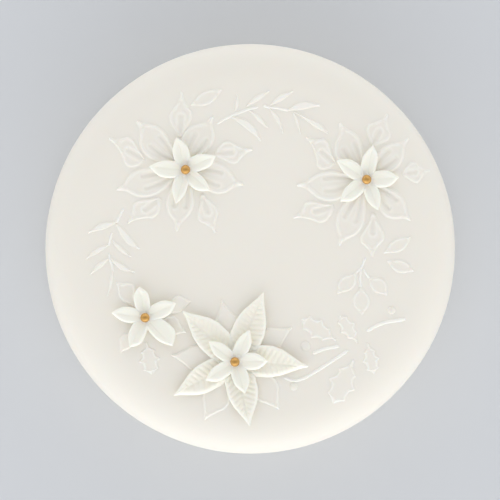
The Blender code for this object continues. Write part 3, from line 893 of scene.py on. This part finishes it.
fronds = {
    "back": {
        "stems": (
            ((-14.6, 54.6), (-11.6, 56.5), (-8.4, 58.1), (-3.9, 59.9), (0.0, 61.3), (3.6, 62.0)),
            ((5.6, 62.8), (8.4, 61.9), (12.0, 61.6), (16.8, 60.4)),
        ),
        "leaves": (
            ((-8.3, 57.7), (4.8, 46.9), 1.7, 1.7, 0.48, 0.48, 1.8),
            ((-0.4, 60.6), (8.0, 52.6), 1.1, 1.1, 0.50, 0.50, 0.3),
            ((8.6, 61.3), (14.4, 50.1), 1.1, 1.1, 0.38, 0.38, 0.9),
            ((18.9, 59.8), (22.1, 49.9), 0.85, 0.85, 0.40, 0.40, 0.3),
            ((18.4, 60.2), (34.2, 50.4), 1.5, 1.2, 0.70, 0.66, 0.5),
            ((16.2, 60.6), (30.8, 62.6), 1.8, 1.8, 0.50, 0.46, 1.1),
            ((-6.6, 60.2), (-5.8, 68.0), 0.9, 0.9, 0.45, 0.45, -0.4),
            ((-1.8, 62.2), (8.6, 69.2), 1.2, 1.2, 0.50, 0.50, 0.4),
            ((8.4, 62.6), (19.0, 69.0), 1.3, 1.3, 0.50, 0.50, 0.4),
        ),
    },
    "left": {
        "stems": (
            ((-55.5, 17.7), (-57.0, 14.6), (-58.6, 11.2)),
            ((-60.3, 7.4), (-61.3, 4.2), (-61.9, 1.2)),
            ((-61.8, -1.8), (-61.6, -4.2), (-60.6, -6.8), (-59.9, -10.2)),
        ),
        "leaves": (
            ((-58.8, 11.0), (-48.0, -0.3), 1.7, 1.8, 0.38, 0.56, -0.8),
            ((-60.6, 4.0), (-51.9, -3.6), 1.1, 1.1, 0.42, 0.52, -0.5),
            ((-61.4, -4.2), (-50.3, -10.4), 1.3, 1.3, 0.40, 0.50, -0.7),
            ((-58.7, 11.5), (-71.2, 6.8), 1.5, 1.5, 0.45, 0.45, -0.6),
            ((-61.8, 1.8), (-72.0, -4.6), 1.2, 1.2, 0.45, 0.45, -0.5),
            ((-61.6, -4.0), (-70.4, -11.6), 1.2, 1.2, 0.45, 0.45, -0.4),
            ((-60.2, -9.2), (-62.6, -21.0), 1.1, 1.1, 0.45, 0.45, 0.5),
        ),
    },
}
sprigs = {
    "stems": (
        ((50.2, -4.0), (49.2, -7.0), (47.8, -9.2), (46.0, -10.6)),
        ((48.6, -8.6), (48.2, -12.0), (48.2, -16.9)),
        ((49.5, -8.8), (50.5, -10.6), (52.3, -12.9)),
    ),
    "leaves": (
        ((46.6, -10.0), (38.0, -19.8), 3.2, 3.0, 0.45, 0.55, 0.0),
        ((48.2, -16.3), (49.0, -29.1), 3.5, 3.5, 0.48, 0.48, 0.0),
        ((51.8, -12.2), (60.1, -20.4), 3.4, 2.7, 0.50, 0.44, 0.0),
        ((70.5, 5.6), (58.3, -2.0), 2.7, 2.4, 0.45, 0.50, 0.2),
        ((72.0, -9.8), (59.6, -5.2), 2.6, 2.4, 0.50, 0.45, 0.2),
        ((-12.0, 70.0), (-26.4, 62.7), 2.7, 2.6, 0.50, 0.50, 0.3),
    ),
}
holly = {
    "leaves": (
        ((37.7, -40.1), (22.2, -30.7), 4.7, 4.3, 0.45, 0.45, 0.0),
        ((47.1, -41.2), (39.0, -29.1), 3.6, 3.6, 0.45, 0.45, 0.0),
        ((51.4, -41.1), (54.2, -54.6), 3.5, 3.8, 0.45, 0.45, 0.0),
        ((45.2, -48.5), (36.3, -67.8), 5.8, 6.1, 0.45, 0.45, 0.0),
        ((-45.4, -40.7), (-42.9, -55.0), 4.5, 4.6, 0.45, 0.45, 0.0),
    ),
    "stems": (
        ((27.1, -45.9), (33.0, -43.7), (39.1, -42.6)),
        ((14.6, -56.0), (18.6, -57.6), (22.6, -56.9), (27.4, -54.4), (34.4, -50.0), (43.1, -44.3)),
        ((50.9, -36.1), (55.4, -33.6), (59.6, -32.1), (64.0, -31.4), (68.0, -30.8)),
    ),
    "berries": (((24.2, -42.6), 2.2), ((19.1, -60.2), 1.8), ((61.8, -26.9), 1.8)),
    "berryRise": 0.55 * mm,
}
# how thick the stalks are, and how far below the icing their axis lies
stalks = {
    "frond": {"radius": 0.65 * mm, "depth": 0.3 * mm},
    "sprig": {"radius": 0.6 * mm, "depth": 0.28 * mm},
    "holly": {"radius": 0.85 * mm, "depth": 0.38 * mm},
}


def looseLeaves(rows):
    # leaves given in millimetres by root, tip, half widths, how far along each side is widest, and bow
    leaves = []
    for root, tip, *widths in rows:
        leaves.append(leafBlade(Vector((*root, 0.0)) * mm, Vector((*tip, 0.0)) * mm, *widths))
    return leaves


def stalkPiece(name, tree, lines, stalk, material):
    # stalks along lines of points
    mesh = bpy.data.meshes.new(name)
    points = [Vector((x * mm, y * mm, -stalk["depth"])) for line in lines for x, y in line]
    edges = []
    first = 0
    for line in lines:
        edges += [(first + n, first + n + 1) for n in range(len(line) - 1)]
        first += len(line)
    mesh.from_pydata(points, edges, [])
    piece = runTree(name, mesh, tree, {"Radius": stalk["radius"], "Material": material})
    drape(piece)
    return piece


def sprayParts(kind, spray, trees, stalkLine, material):
    # the leaves and the stalks of a spray
    leaves = leafPiece(kind + "Leaves", trees, kind, looseLeaves(spray["leaves"]), material)
    return [leaves, stalkPiece(kind + "Stems", stalkLine, spray["stems"], stalks[kind], material)]


def berryPiece(name, material):
    # low round buttons
    bm = bmesh.new()
    for (x, y), radius in holly["berries"]:
        made = bmesh.ops.create_uvsphere(bm, u_segments=24, v_segments=14, radius=1.0)["verts"]
        bmesh.ops.scale(bm, vec=(radius * mm, radius * mm, holly["berryRise"]), verts=made)
        bmesh.ops.translate(bm, vec=(x * mm, y * mm, icingHeight(x * mm, y * mm)), verts=made)
    return formed(name, bm, material)


# The sugar flowers

petalOutlines = {
    "petal": [
        (0.0, 0.8), (0.1, 0.88), (0.25, 0.97), (0.45, 1.0), (0.6, 0.94), (0.75, 0.7), (0.87, 0.4),
        (0.95, 0.17), (1.0, 0.04),
    ],
    "bract": [
        (0.0, 0.8), (0.1, 0.88), (0.25, 0.98), (0.45, 1.0), (0.6, 0.86), (0.72, 0.62), (0.83, 0.36),
        (0.91, 0.18), (1.0, 0.04),
    ],
}
# A petal is given by its bearing, its length, its half width to the left and to the right, and then
# the shares that petalShares names: how far along each side is widest, for a bract how strong the veins
# are on each side and how much they slant, and how far each side folds down.
petalShares = {
    "petal": ("leftBelly", "rightBelly", "leftFold", "rightFold"),
    "bract": ("leftBelly", "rightBelly", "leftVeins", "rightVeins", "slant", "leftFold", "rightFold"),
}
plainVeins = {"leftVeins": 1.0, "rightVeins": 1.0, "slant": 0.2}
flowers = {
    "back_left": {
        "at": (-28.4, 34.6),
        "petals": (
            (24.7, 14.6, 3.8, 3.5, 0.38, 0.58, 0.0, 0.6),
            (105.7, 14.6, 3.6, 3.7, 0.48, 0.52, 0.0, 0.2),
            (175.0, 15.9, 4.2, 3.4, 0.50, 0.46, 0.4, 0.0),
            (254.6, 15.4, 2.9, 3.7, 0.50, 0.46, 0.2, 0.2),
            (319.5, 14.2, 2.7, 3.8, 0.46, 0.52, 0.0, 1.0),
        ),
    },
    "back_right": {
        "at": (50.9, 30.3),
        "petals": (
            (4.0, 14.1, 3.6, 3.9, 0.48, 0.52, 0.4, 0.6),
            (79.5, 15.3, 3.5, 3.3, 0.46, 0.54, 0.0, 0.0),
            (147.6, 15.5, 3.3, 3.7, 0.44, 0.54, 0.0, 0.3),
            (219.3, 15.0, 3.5, 3.4, 0.56, 0.48, 1.0, 0.0),
            (290.8, 14.4, 3.2, 3.3, 0.50, 0.50, 0.3, 0.6),
        ),
    },
    "front_left": {
        "at": (-46.0, -30.1),
        "petals": (
            (25.4, 14.9, 3.6, 3.7, 0.52, 0.54, 0.2, 0.7),
            (100.8, 13.8, 3.4, 3.5, 0.60, 0.60, 0.0, 0.0),
            (171.6, 14.8, 3.4, 3.5, 0.48, 0.52, 0.6, 0.4),
            (242.6, 14.6, 3.7, 3.7, 0.62, 0.46, 1.0, 0.0),
            (314.3, 17.3, 5.8, 3.0, 0.66, 0.50, 0.0, 1.0),
        ),
    },
}
poinsettia = {
    "at": (-6.7, -49.4),
    "bracts": (
        (356.2, 32.2, 8.0, 6.0, 0.46, 0.44, 0.7, 0.7, 0.5, 0.1, 1.0),
        (67.7, 32.8, 6.8, 7.4, 0.48, 0.46, 0.6, 1.0, 0.42, 0.0, 0.0),
        (135.9, 31.8, 6.1, 7.5, 0.46, 0.50, 1.0, 0.5, 0.7, 0.4, 0.0),
        (208.8, 30.6, 6.2, 6.4, 0.52, 0.46, 0.45, 0.7, 0.5, 1.0, 0.0),
        (282.8, 28.9, 7.3, 6.3, 0.46, 0.46, 0.75, 0.75, 0.6, 0.2, 0.4),
    ),
    "heart": (
        (1.4, 14.4, 3.7, 3.8, 0.48, 0.54, 0.1, 1.0),
        (65.8, 15.4, 3.2, 3.4, 0.46, 0.52, 0.0, 0.3),
        (142.0, 14.5, 3.0, 3.3, 0.50, 0.50, 0.2, 0.0),
        (212.0, 15.2, 3.8, 3.0, 0.54, 0.48, 1.0, 0.0),
        (287.8, 14.4, 4.0, 3.3, 0.50, 0.50, 0.0, 0.8),
    ),
}
# each kind also says how strongly it is painted paler near its outline, a painted highlight
petalKinds = {
    "petal": {
        "Thickness": 1.2 * mm, "Rounding": 1.2 * mm, "Lift": 1.9 * mm, "Cup": 0.5 * mm, "Tip Curl": 0.3 * mm,
        "Fold": 0.7 * mm, "Fold Width": 1.8 * mm, "Rim Rise": 0.12 * mm, "Midrib Depth": 0.28 * mm,
        "Vein Depth": 0.06 * mm, "Vein Spacing": 1.0 * mm, "Vein Reach": 0.66, "Painted Highlight Strength": 0.8,
    },
    "bract": {
        "Thickness": 1.2 * mm, "Rounding": 1.7 * mm, "Lift": 1.6 * mm, "Cup": 0.9 * mm, "Tip Curl": 0.3 * mm,
        "Fold": 1.6 * mm, "Fold Width": 3.2 * mm, "Rim Rise": 0.2 * mm, "Midrib Depth": 0.45 * mm,
        "Vein Depth": 0.45 * mm, "Vein Spacing": 2.5 * mm, "Vein Reach": 0.95, "Painted Highlight Strength": 1.0,
    },
}
petalGrids = {"petal": (44, 44), "bract": (110, 64)}
# how uneven the hand made each petal
handwork = {"share": 0.12, "turn": 2.4, "shift": 9.0, "bow": 1.2, "roll": 0.5}
boss = {
    "petal": 3.0 * mm,
    "bract": 4.5 * mm,
    "height": 1.7 * mm,
    "hidden": 0.15 * mm,
    "socket": 0.3 * mm,
    "sunk": 0.4 * mm,
    "taper": 0.9,
    "bevel": 0.5 * mm,
}
pearl = {"turns": 40, "rings": 24, "dentSize": 420.0, "spread": 90.0, "fullness": 0.995, "dent": 0.012}


def bossPart(name, centre, radius, low, height, material):
    # the dab of icing under a flower, with a rounded upper edge
    bm = bmesh.new()
    made = bmesh.ops.create_cone(
        bm,
        cap_ends=True,
        segments=40,
        radius1=radius,
        radius2=boss["taper"] * radius,
        depth=height + boss["sunk"],
    )["verts"]
    middle = low + 0.5 * height - 0.5 * boss["sunk"]
    bmesh.ops.translate(bm, vec=centre + Vector((0.0, 0.0, middle)), verts=made)
    top = [edge for edge in bm.edges if min(v.co.z for v in edge.verts) > low + 0.9 * height]
    bmesh.ops.bevel(bm, geom=top, offset=boss["bevel"], segments=3, affect="EDGES", profile=0.5)
    return formed(name, bm, material)


def sugarFlower(name, kind, at, petals, low, tree, material):
    # petals round a low boss; low is the level that the boss stands on
    centre = Vector((*at, 0.0)) * mm
    measure = petalKinds[kind]
    middle = centre + Vector((0.0, 0.0, low + boss["height"] - 0.5 * measure["Thickness"]))
    blades = []
    for n, (bearing, length, left, right, *shares) in enumerate(petals):
        uneven = handwork["share"] * math.sin(handwork["turn"] * n + handwork["shift"] * centre.x / mm)
        blade = dict(plainVeins)
        blade.update(zip(petalShares[kind], shares))
        blade.update({
            "root": middle,
            "run": polar((0.0, 0.0), bearing, length * mm),
            "left": left * mm,
            "right": right * mm,
            "bow": handwork["bow"] * uneven * mm,
            "cupping": 1.0 + uneven,
            "roll": handwork["roll"] * uneven,
        })
        blades.append(blade)
    body = runTree(name + "Petals", bladePoints(name, blades), tree, dict(measure, Material=material))
    dab = bossPart(name + "Boss", centre, boss[kind], low, boss["height"] - boss["hidden"], material)
    return joined(name, [body, dab])


def pearlPiece(name, node, low, material):
    # a hard sugar ball, not quite round, pushed a little into the flower that stands on this level
    corner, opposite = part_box(node)
    radius = 0.5 * (opposite[2] - corner[2])
    centre = 0.5 * (Vector(corner) + Vector(opposite))
    centre.z = low + boss["height"] - boss["socket"] + radius
    bm = bmesh.new()
    bmesh.ops.create_uvsphere(bm, u_segments=pearl["turns"], v_segments=pearl["rings"], radius=radius)
    for point in bm.verts:
        dent = noise.noise(point.co * pearl["dentSize"] + centre * pearl["spread"])
        point.co *= pearl["fullness"] - pearl["dent"] * max(dent, 0.0)
    bmesh.ops.translate(bm, vec=centre, verts=bm.verts)
    return formed(name, bm, material)


# Floor, light and camera

studio = {
    "floorSize": 6.0,
    "view": 3.0,
    "pictureSide": 500.0,
    "radiusInPixels": 204.84,
    "centreInPixels": (250.24, 248.86),
    "zenith": 0.49,
    "towardsHorizon": 3.0,
    "fromTheFront": 0.18,
    "lengthwise": 1.3,
    "skyColour": (0.975, 0.997, 1.04, 1.0),
}


def makeFloor(material):
    bm = bmesh.new()
    bmesh.ops.create_grid(bm, x_segments=1, y_segments=1, size=0.5 * studio["floorSize"])
    formed("floor", bm, material)


def makeLight():
    # a soft tent of light, brighter low down, most of all in front and behind
    world = bpy.data.worlds.new("softSky")
    world.use_nodes = True
    tree = world.node_tree
    sky = tree.nodes["Background"]
    sky.inputs["Color"].default_value = studio["skyColour"]
    way = addNode(tree, "ShaderNodeTexCoord").outputs["Generated"]
    split = addNode(tree, "ShaderNodeSeparateXYZ", {0: way}).outputs
    height = calc(tree, "MAXIMUM", split["Z"], 0.0)
    low = product(tree, calc(tree, "SUBTRACT", 1.0, height), studio["towardsHorizon"])
    along = product(tree, split["Y"], split["Y"])
    aside = product(tree, split["X"], split["X"])
    ends = product(tree, calc(tree, "SUBTRACT", along, aside), studio["lengthwise"])
    front = product(tree, split["Y"], -studio["fromTheFront"])
    strength = product(tree, total(tree, low, ends, 1.0), calc(tree, "ADD", front, 1.0), studio["zenith"])
    tree.links.new(strength, sky.inputs["Strength"])
    bpy.context.scene.world = world
    bpy.context.scene.view_settings.view_transform = "Standard"


def makeCamera():
    # straight above, far off, with the cake's widest ring as large and as placed as in the photograph
    ring = shoulder["top"] - shoulder["drop"]
    scale = studio["radiusInPixels"] / cakeRadius
    lens = bpy.data.cameras.new("camera")
    lens.sensor_width = 36.0
    lens.lens = scale * (studio["view"] - ring) * lens.sensor_width / studio["pictureSide"]
    lens.clip_end = 20.0
    camera = bpy.data.objects.new("camera", lens)
    x, y = studio["centreInPixels"]
    middle = 0.5 * studio["pictureSide"]
    camera.location = ((middle - x) / scale, (y - middle) / scale, studio["view"])
    bpy.context.scene.collection.objects.link(camera)
    bpy.context.scene.camera = camera


def main():
    grain = sugarGrainGroup()
    icing = sugarMaterial("icingPaste", grain)
    sugar = sugarMaterial("flowerPaste", grain)
    creamy = sugarMaterial("bractPaste", grain)
    gold = goldMaterial(lustreGroup())
    print("materials made")

    keep(icedDrum(icing), "icing", "iced_cake")
    print("icing made")

    trees = {kind: embossedLeafTree(*shape) for kind, shape in leafShapes.items()}
    trees["rimmed"] = trees["under"]
    for place, star in stars.items():
        keep(embossedStar(place, star, trees, icing), "icing", "iced_cake")
    stalkLine = stalkTree()
    for place, frond in fronds.items():
        parts = sprayParts("frond", frond, trees, stalkLine, icing)
        keep(joined("frond_" + place, parts), "icing", "iced_cake")
    parts = sprayParts("sprig", sprigs, trees, stalkLine, icing)
    keep(joined("sprig_leaves", parts), "icing", "iced_cake")
    parts = sprayParts("holly", holly, trees, stalkLine, icing) + [berryPiece("hollyBerries", icing)]
    keep(joined("holly_sprays", parts), "icing", "iced_cake")
    print("embossed leaves made")

    petals = petalTree("petal")
    low = shoulder["top"]
    for place, flower in flowers.items():
        piece = sugarFlower("flower_" + place, "petal", flower["at"], flower["petals"], low, petals, sugar)
        keep(piece, "sugar", "flower_" + place)
        keep(pearlPiece("pearl_" + place, "pearl_" + place, low, gold), "gold", "pearl_" + place)
    bracts = petalTree("bract")
    piece = sugarFlower("bracts", "bract", poinsettia["at"], poinsettia["bracts"], low, bracts, creamy)
    keep(piece, "sugar", "poinsettia_bracts")
    heartLow = low + boss["height"]
    piece = sugarFlower("heart", "petal", poinsettia["at"], poinsettia["heart"], heartLow, petals, sugar)
    keep(piece, "sugar", "poinsettia_heart")
    keep(pearlPiece("pearl_front", "pearl_poinsettia", heartLow, gold), "gold", "pearl_poinsettia")
    print("flowers made")

    makeFloor(floorMaterial())
    makeLight()
    makeCamera()
    print("studio made")


main()
